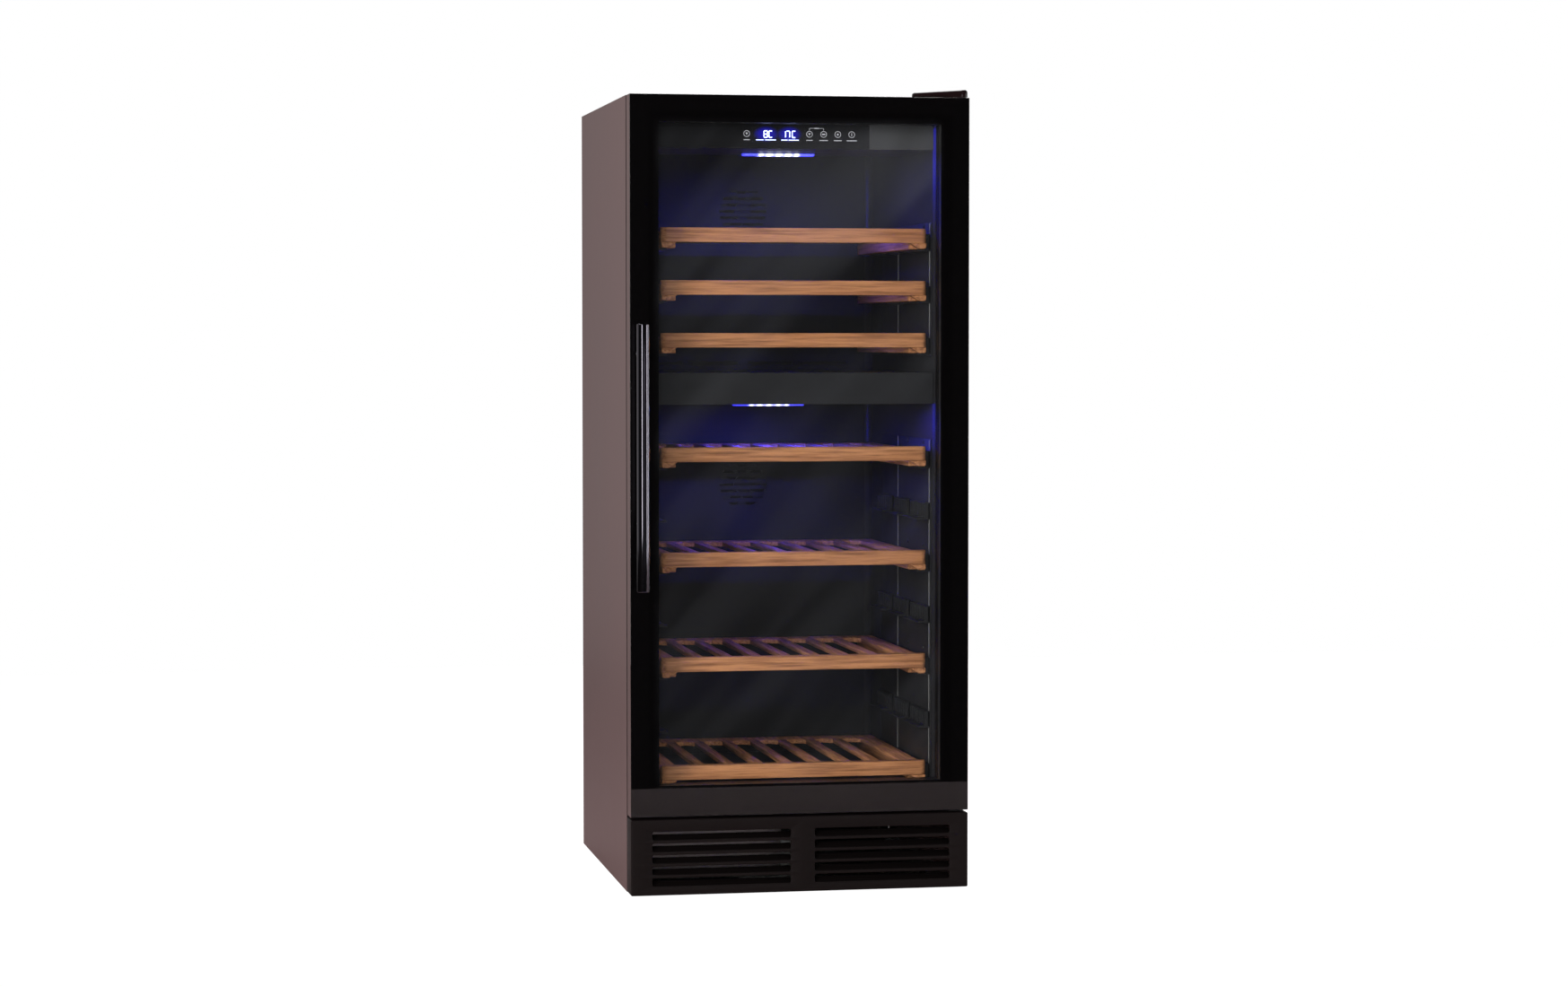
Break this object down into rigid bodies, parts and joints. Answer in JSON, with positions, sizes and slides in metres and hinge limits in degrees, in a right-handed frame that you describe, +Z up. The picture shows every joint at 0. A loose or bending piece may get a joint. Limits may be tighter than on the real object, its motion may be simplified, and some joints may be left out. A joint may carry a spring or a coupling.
{
  "type": "wine cooler",
  "caption": "Tall built-in wine cooler with two temperature zones, a hinged glass door with bar handle, slatted beech shelves that slide, and a louvred plinth.",
  "frame": {"origin": "centre of the floor area under the whole object, with the handle and the hinge cover included", "axes": "+Z up; the door faces -Y; +X is to the right of a person facing the door"},
  "size_m": [0.595, 0.699, 1.397],
  "materials": {
    "taupe_steel": "satin powder coat",
    "galvanised_steel": "spangled zinc",
    "zinc_plated_steel": "bright zinc plate",
    "black_steel": "semi-gloss black paint",
    "insulation": "rigid foam",
    "liner_black": "vacuum-formed, lightly textured",
    "moulded_black": "injection moulded, satin",
    "gloss_black": "polished black",
    "clear_glass": "float glass, black border behind",
    "spacer_grey": "dull grey",
    "seal_rubber": "soft black magnetic seal",
    "dark_chrome": "polished black chrome",
    "beech": "oiled beech",
    "lamp_lens": "frosted lens, lit blue",
    "board_green": "circuit board",
    "aluminium": "mill finish",
    "tray_grey": "moulded grey"
  },
  "bodies": {
    "cabinet": {"side_panel_left": "taupe_steel", "side_panel_right": "taupe_steel", "top_panel": "taupe_steel", "rear_panel": "galvanised_steel", "base_pan": "galvanised_steel", "insulation_foam": "insulation", "inner_liner": "liner_black", "front_frame": "taupe_steel", "zone_divider": "liner_black", "upper_fan_cover": "liner_black", "lower_fan_cover": "liner_black", "upper_evaporator": "aluminium", "lower_evaporator": "aluminium", "control_housing": "moulded_black", "control_fascia": "gloss_black", "control_board": "board_green", "upper_lamp": "lamp_lens", "lower_lamp": "lamp_lens", "upper_rack_left": "liner_black", "upper_rack_right": "liner_black", "lower_rack_left": "liner_black", "lower_rack_right": "liner_black", "foot_front_left": "moulded_black", "foot_front_right": "moulded_black", "foot_rear_left": "moulded_black", "foot_rear_right": "moulded_black", "plinth_grille": "moulded_black", "compressor": "black_steel", "condenser": "black_steel", "fan_shroud": "moulded_black", "drip_tray": "tray_grey", "power_inlet": "moulded_black", "top_hinge_bracket": "zinc_plated_steel", "hinge_cover": "gloss_black", "bottom_hinge_bracket": "black_steel"},
    "door": {"door_frame": "moulded_black", "outer_glass": "clear_glass", "inner_glass": "clear_glass", "glazing_spacer": "spacer_grey", "door_gasket": "seal_rubber", "handle_bar": "dark_chrome", "handle_post_upper": "dark_chrome", "handle_post_lower": "dark_chrome"},
    "shelf_1": {"shelf_1_deck": "beech", "shelf_1_front": "beech"},
    "shelf_2": {"shelf_2_deck": "beech", "shelf_2_front": "beech"},
    "shelf_3": {"shelf_3_deck": "beech", "shelf_3_front": "beech"},
    "shelf_4": {"shelf_4_deck": "beech", "shelf_4_front": "beech"},
    "shelf_5": {"shelf_5_deck": "beech", "shelf_5_front": "beech"},
    "shelf_6": {"shelf_6_deck": "beech", "shelf_6_front": "beech"},
    "shelf_7": {"shelf_7_deck": "beech", "shelf_7_front": "beech"},
    "upper_fan": {"upper_fan": "moulded_black"},
    "lower_fan": {"lower_fan": "moulded_black"},
    "condenser_fan": {"condenser_fan": "moulded_black"}
  },
  "joints": [
    {"name": "door_hinge", "type": "hinge", "parent": "cabinet", "child": "door", "pos_m": [0.2795, -0.2735, 0.1415], "axis": [0, 0, 1], "range_deg": [0, 110]},
    {"name": "shelf_1_slide", "type": "slide", "parent": "cabinet", "child": "shelf_1", "axis": [0, -1, 0], "range_m": [0, 0.1]},
    {"name": "shelf_2_slide", "type": "slide", "parent": "cabinet", "child": "shelf_2", "axis": [0, -1, 0], "range_m": [0, 0.1]},
    {"name": "shelf_3_slide", "type": "slide", "parent": "cabinet", "child": "shelf_3", "axis": [0, -1, 0], "range_m": [0, 0.1]},
    {"name": "shelf_4_slide", "type": "slide", "parent": "cabinet", "child": "shelf_4", "axis": [0, -1, 0], "range_m": [0, 0.1]},
    {"name": "shelf_5_slide", "type": "slide", "parent": "cabinet", "child": "shelf_5", "axis": [0, -1, 0], "range_m": [0, 0.1]},
    {"name": "shelf_6_slide", "type": "slide", "parent": "cabinet", "child": "shelf_6", "axis": [0, -1, 0], "range_m": [0, 0.1]},
    {"name": "shelf_7_slide", "type": "slide", "parent": "cabinet", "child": "shelf_7", "axis": [0, -1, 0], "range_m": [0, 0.1]},
    {"name": "upper_fan_spin", "type": "hinge", "parent": "cabinet", "child": "upper_fan", "pos_m": [0, 0.302, 1.205], "axis": [0, 1, 0], "continuous": true},
    {"name": "lower_fan_spin", "type": "hinge", "parent": "cabinet", "child": "lower_fan", "pos_m": [0, 0.302, 0.69], "axis": [0, 1, 0], "continuous": true},
    {"name": "condenser_fan_spin", "type": "hinge", "parent": "cabinet", "child": "condenser_fan", "pos_m": [-0.1425, -0.14, 0.0765], "axis": [0, 1, 0], "continuous": true}
  ],
  "couplings": [
    {"joint": "shelf_1_slide", "follows": "door_hinge", "m_per_rad": 0.052},
    {"joint": "shelf_2_slide", "follows": "door_hinge", "m_per_rad": 0.052},
    {"joint": "shelf_3_slide", "follows": "door_hinge", "m_per_rad": 0.052},
    {"joint": "shelf_4_slide", "follows": "door_hinge", "m_per_rad": 0.052},
    {"joint": "shelf_5_slide", "follows": "door_hinge", "m_per_rad": 0.052},
    {"joint": "shelf_6_slide", "follows": "door_hinge", "m_per_rad": 0.052},
    {"joint": "shelf_7_slide", "follows": "door_hinge", "m_per_rad": 0.052}
  ]
}
